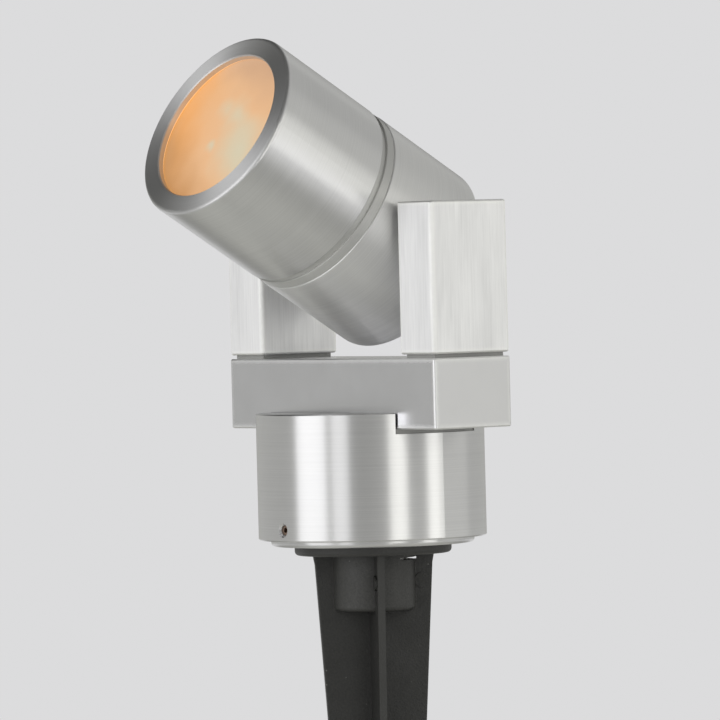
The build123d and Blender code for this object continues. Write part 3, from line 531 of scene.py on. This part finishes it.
ALUMINIUM = (0.71, 0.71, 0.707)
# Painted light: a paler copy of the aluminium for the rear housing, lifting it where it mirrors the arms
# and the bar
PAINTED_LIGHT_ALUMINIUM = (0.84, 0.84, 0.83)
finishes = {
    turned_metal("turned_base", ALUMINIUM, UPRIGHT, ORIGIN, roughness=(0.29, 0.34), pitch=0.0003):
        ["base_body", "base_plate"],
    turned_metal("turned_head", ALUMINIUM, HEAD_TURN, PIVOT, roughness=(0.29, 0.35), pitch=0.0003,
                 face=SLEEVE_FRONT): ["front_sleeve"],
    # The rear housing in the paler copy of the aluminium: painted light
    turned_metal("turned_housing", PAINTED_LIGHT_ALUMINIUM, HEAD_TURN, PIVOT, roughness=(0.43, 0.48), pitch=0.0003):
        ["rear_housing"],
    turned_metal("turned_ring", (0.7, 0.7, 0.68), HEAD_TURN, PIVOT, roughness=(0.5, 0.6), pitch=0.0006):
        ["joint_ring"],
    turned_metal("turned_pivot", ALUMINIUM, PIVOT_TURN, PIVOT, roughness=(0.28, 0.38), pitch=0.0005):
        ["trunnion_left", "trunnion_right"],
    turned_metal("stem_metal", (0.75, 0.75, 0.73), UPRIGHT, ORIGIN, roughness=(0.4, 0.55), pitch=0.0018):
        ["stem"],
    smooth_bar(): ["crossbar"],
    brushed_arm(): ["arm_left", "arm_right"],
    # Painted shade: the arm spacers' dark grey stands in for the shade in the narrow gaps under the arms
    rubber("dark_rubber_and_shade", (0.3, 0.3, 0.29), contrast=0.1): ["arm_spacer_left", "arm_spacer_right"],
    # Painted reflection: the bar's spacer is a pale grey for the light reflected into the gap under the bar
    rubber("slot_rubber_painted_light", (0.55, 0.55, 0.54), contrast=0.1): ["crossbar_spacer"],
    rubber("seal_rubber", (0.025, 0.025, 0.025), contrast=0.15):
        ["spigot_seal", "stem_seal", "neck_seal", "pivot_seals"],
    black_moulding(): ["spike"],
    grained("fastener_steel", (0.5, 0.49, 0.47), roughness=(0.25, 0.4), size=0.0008, depth=0.000004,
            Metallic=1.0):
        ["stem_nut", "crossbar_screws", "terminal_screw", "arm_screws", "holder_screws", "holder_bracket",
         "lens_retainer", "lamp_pins"],
    grained("lock_screw_steel", (0.26, 0.19, 0.15), roughness=(0.3, 0.5), size=0.0006, depth=0.000006,
            contrast=0.2, Metallic=1.0): ["pan_lock_screws", "tilt_lock_screws"],
    # Painted glow: the lens gasket's orange emission stands in for the lamp's light coming through the
    # clear silicone
    grained("clear_silicone", (0.8, 0.6, 0.4), roughness=(0.3, 0.4), size=0.0008, depth=0.00001,
            contrast=0.08, Emission_Color=(0.95, 0.48, 0.16), Emission_Strength=0.7): ["lens_gasket"],
    lit_lens(): ["lens_glass"],
    faceted_mirror(): ["lamp_reflector"],
    clear_glass("lamp_glass", (0.95, 0.95, 0.93)): ["lamp_cover"],
    clear_glass("burner_quartz", (1.0, 0.9, 0.75), Emission_Color=(1.0, 0.72, 0.4), Emission_Strength=1.0):
        ["lamp_burner"],
    grained("holder_ceramic", (0.82, 0.8, 0.75), roughness=(0.55, 0.7), size=0.001, depth=0.00002):
        ["lamp_holder"],
    grained("terminal_plastic", (0.72, 0.71, 0.67), roughness=(0.4, 0.5), size=0.0012, depth=0.00001,
            contrast=0.06): ["terminal_block"],
    grained("lead_insulation", (0.05, 0.05, 0.05), roughness=(0.35, 0.5), size=0.0008, depth=0.000008):
        ["yoke_lead", "head_lead"],
}
for finish, names in finishes.items():
    for name in names:
        slots = frame["nodes"][name].data.materials
        slots.clear()
        slots.append(finish)
by_name = {finish.name: finish for finish in finishes}


# Thread and seals

def ring_mesh(name, points, closed=False):
    """A surface over points [ring, place in ring]: quads between neighbours, the first ring filled, and
    the last one too on a closed tube."""
    rings, sides = points.shape[:2]
    index = np.arange(rings * sides).reshape(rings, sides)
    after = np.roll(index, -1, axis=1)
    quads = np.stack([index[:-1], index[1:], after[1:], after[:-1]], axis=-1).reshape(-1, 4)
    ends = [index[0].tolist()] + [index[-1, ::-1].tolist()] * closed
    mesh = bpy.data.meshes.new(name)
    mesh.from_pydata(points.reshape(-1, 3).tolist(), [], quads.tolist() + ends)
    made = bpy.data.objects.new(name, mesh)
    bpy.context.scene.collection.objects.link(made)
    return made


def neck_thread():
    """A screw thread: a four-sided ridge, wide at its foot and narrow at its crest, carried along a helix
    round the head's axis, and sinking almost to nothing over the first and last half turn."""
    start = NECK_BACK + THREAD_RUNOUT
    end = NECK_FRONT - THREAD_LEAD_IN
    turns = (end - start) / THREAD_PITCH - 2 * THREAD_MARGIN
    along = np.linspace(0.0, turns, int(turns * THREAD_STEPS_A_TURN))[:, None]
    fade = np.clip(np.minimum(along, turns - along) / THREAD_FADE_TURNS, THREAD_END_SHARE, 1.0)
    across = np.array([-THREAD_HALF_FOOT, -THREAD_HALF_CREST, THREAD_HALF_CREST, THREAD_HALF_FOOT])
    crest = np.array([0.0, 1.0, 1.0, 0.0])
    radius = NECK_RADIUS + THREAD_HEIGHT * (crest * fade - (1.0 - crest))
    station = start + THREAD_PITCH * (THREAD_MARGIN + along + across)
    axis, side = np.array(AIM), np.array(ACROSS)
    turn = 2 * pi * along[..., None]
    ray = np.cos(turn) * side + np.sin(turn) * np.cross(axis, side)
    points = np.array(PIVOT) + ray * radius[..., None] + station[..., None] * axis
    return ring_mesh("neck_thread", points, closed=True)


def slot_seal(name, side):
    """A strip that closes the mouth of the drum's slot under the bar: a four-sided section carried along an
    arc of the drum's rim, from one wall of the slot to the other."""
    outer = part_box("base_body")[1][0] - SEAL_INSET
    inner = outer - SEAL_DEPTH
    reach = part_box("crossbar")[1][1] + SLOT_CLEARANCE
    floor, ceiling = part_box("crossbar_spacer")[0][2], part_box("crossbar")[0][2]
    radius = np.array([outer, outer, inner, inner])
    turn = np.linspace(-1.0, 1.0, SEAL_STEPS)[:, None] * np.arcsin(reach / radius)
    height = np.broadcast_to([floor, ceiling, ceiling, floor], turn.shape)
    points = np.stack([side * radius * np.cos(turn), side * radius * np.sin(turn), height], axis=-1)
    return ring_mesh(name, points, closed=True)


def dress(piece, body, finish):
    """A piece that rides on a body and its material."""
    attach(piece, body)
    piece.data.materials.append(by_name[finish])


dress(slot_seal("slot_seal_right", 1), "yoke", "dark_rubber_and_shade")
dress(slot_seal("slot_seal_left", -1), "yoke", "dark_rubber_and_shade")
dress(neck_thread(), "head", "turned_head")


# Floor, light and camera

PALE = (0.715, 0.715, 0.722)
BLACK = (0.0, 0.0, 0.0)
FLOOR_RADIUS = 2.2
FLOOR_GAP = 0.0005
ROOM = (1.0, 1.0, 0.955)
ROOM_UPPER = (1.0, 1.0, 0.98)
LAMP_MIDDLE = Vector((0, 0, 0.07))
LAMP_AWAY = 1.0
WARM = (1.0, 0.995, 0.96)
COOL = (0.975, 0.975, 1.0)
WHITE = (1.0, 1.0, 1.0)
CAMERA_TURN = 51.286
CAMERA_RISE = 0.978
CAMERA_ROLL = -1.462
CAMERA_AWAY = 2.2
CAMERA_AIM = Vector((-0.0016, -0.002, 0.05944))
CAMERA_LENS = 358.58
CAMERA_SENSOR = 36.0
CAMERA_REACH = 20.0


def floor_paint():
    """Pale paint with a faint grain that passes into the pale background; to other rays than the camera's
    it is painted a little darker and warmer, with a painted shade that dims it away from the object before
    it passes over."""
    made, tree, shader, place = start_material("floor_paint", Emission_Strength=1.0)
    seen_paint = (0.66, 0.66, 0.67)
    near_paint = (0.61, 0.61, 0.575)
    falloff_shade_paint = (0.4, 0.4, 0.38)
    away = vector_calc(tree, "LENGTH", place, out=1)
    seen = put(tree, "LightPath").outputs["Is Camera Ray"]
    unseen = calc(tree, "SUBTRACT", 1.0, seen)
    # Painted shade: to other rays than the camera's, the floor dims away from the object
    painted_falloff = calc(tree, "MULTIPLY", fade_in(tree, away, start=0.27, end=0.5), unseen)
    paint = mix(tree, painted_falloff, mix(tree, seen, near_paint, seen_paint), falloff_shade_paint)
    mirrored_far = fade_in(tree, away, start=0.5, end=1.0)
    seen_far = fade_in(tree, away, start=0.12, end=0.75)
    far = mix_values(tree, seen, mirrored_far, seen_far)
    marks = use(tree, GRAIN, Vector=place, Size=0.004)
    mottled = tint(tree, mix(tree, far, paint, BLACK), marks["Mottle"], amount=0.02)
    connect(tree, shader, {"Base Color": mottled, "Emission Color": mix(tree, far, BLACK, PALE),
                           "Roughness": remap(tree, marks["Mottle"], 0.6, 0.7),
                           "Normal": bump(tree, marks["Grain"], distance=0.00005)})
    return made


def floor_disc(radius, z, rings=24, sides=96, middle=0.001):
    """A level round floor: a grid of the distance from the middle and of the angle round it."""
    across = np.linspace(middle, radius, rings)
    around = np.arange(sides) * 2 * pi / sides
    far, turn = np.meshgrid(across, around, indexing="ij")
    points = np.stack([far * np.cos(turn), far * np.sin(turn), np.full_like(far, z)], axis=-1)
    made = ring_mesh("floor", points)
    made.data.materials.append(floor_paint())
    return made


def bearing(turn, rise):
    """The direction at a turn to the right of straight ahead of -Y and a rise, in degrees."""
    turn, rise = radians(turn), radians(rise)
    return Vector((sin(turn) * cos(rise), -cos(turn) * cos(rise), sin(rise)))


def facing(turn, rise, roll=0.0):
    """The turn of a camera or lamp that looks back along a bearing."""
    upright = Matrix.Rotation(radians(turn), 4, "Z") @ Matrix.Rotation(radians(90 - rise), 4, "X")
    return upright @ Matrix.Rotation(radians(roll), 4, "Z")


def studio_room():
    """The room around the object: the camera sees it pale, through glass too. Metal mirrors grey walls,
    darker behind the camera, and an upper part that is dark to the left and light to the right. Other rays
    get a fill that is stronger from the left."""
    world = bpy.data.worlds.new("studio")
    world.use_nodes = True
    world.cycles.sampling_method = "NONE"
    tree = world.node_tree
    path = put(tree, "LightPath").outputs
    seen = calc(tree, "MAXIMUM", path["Is Camera Ray"], path["Is Transmission Ray"])
    around = put(tree, "TexCoord").outputs["Generated"]
    front = vector_calc(tree, "DOT_PRODUCT", around, tuple(bearing(CAMERA_TURN, CAMERA_RISE)), out=1)
    right = vector_calc(tree, "DOT_PRODUCT", around, tuple(bearing(CAMERA_TURN + 90, 0)), out=1)
    walls = remap(tree, front, 0.45, 0.34, start=0.85, end=0.98, smooth=True)
    upper = remap(tree, right, 0.045, 0.55, start=-0.2, end=0.35, smooth=True)
    fill = remap(tree, right, 1.1, 0.5, start=-1.0, end=0.4, smooth=True)
    share = fade_in(tree, split(tree, around)[2], start=0.12, end=0.6)
    lit = mix_values(tree, path["Is Glossy Ray"], fill, mix_values(tree, share, walls, upper))
    connect(tree, tree.nodes["Background"], {
        "Color": mix(tree, seen, mix(tree, share, ROOM, ROOM_UPPER), PALE),
        "Strength": calc(tree, "MAXIMUM", seen, lit)})
    bpy.context.scene.world = world


def softbox(name, turn, rise, width, height, level, colour):
    """A plain rectangular lamp facing the object, its turn counted to the camera's right and its level that
    of a white card."""
    lamp = bpy.data.lights.new(name, "AREA")
    lamp.shape = "RECTANGLE"
    lamp.size = width
    lamp.size_y = height
    lamp.energy = level * pi * width * height
    lamp.color = colour
    made = bpy.data.objects.new(name, lamp)
    made.visible_camera = False
    bpy.context.scene.collection.objects.link(made)
    turn += CAMERA_TURN
    where = LAMP_MIDDLE + bearing(turn, rise) * LAMP_AWAY
    made.matrix_world = Matrix.Translation(where) @ facing(turn, rise)


def place_camera():
    """The camera on its bearing from the point that it aims at, with a long lens."""
    made = bpy.data.objects.new("camera", bpy.data.cameras.new("camera"))
    bpy.context.scene.collection.objects.link(made)
    made.data.lens = CAMERA_LENS
    made.data.sensor_width = CAMERA_SENSOR
    made.data.clip_end = CAMERA_REACH
    where = CAMERA_AIM + bearing(CAMERA_TURN, CAMERA_RISE) * CAMERA_AWAY
    made.matrix_world = Matrix.Translation(where) @ facing(CAMERA_TURN, CAMERA_RISE, CAMERA_ROLL)
    bpy.context.scene.camera = made


floor_disc(FLOOR_RADIUS, cad_box[0][2] - FLOOR_GAP)
studio_room()
softbox("softbox_left", turn=-63, rise=16, width=0.64, height=1.1, level=1.32, colour=COOL)
softbox("softbox_left_edge", turn=-31, rise=7, width=0.3, height=0.8, level=1.0, colour=COOL)
softbox("softbox_near_right", turn=27, rise=7, width=0.32, height=0.8, level=1.25, colour=WARM)
softbox("softbox_right", turn=66, rise=-2, width=0.28, height=0.95, level=1.2, colour=WARM)
softbox("softbox_right_edge", turn=96, rise=10, width=0.6, height=0.8, level=0.17, colour=WARM)
softbox("softbox_back", turn=158, rise=48, width=0.35, height=0.8, level=0.12, colour=WHITE)
place_camera()
bpy.context.scene.view_settings.view_transform = "Standard"
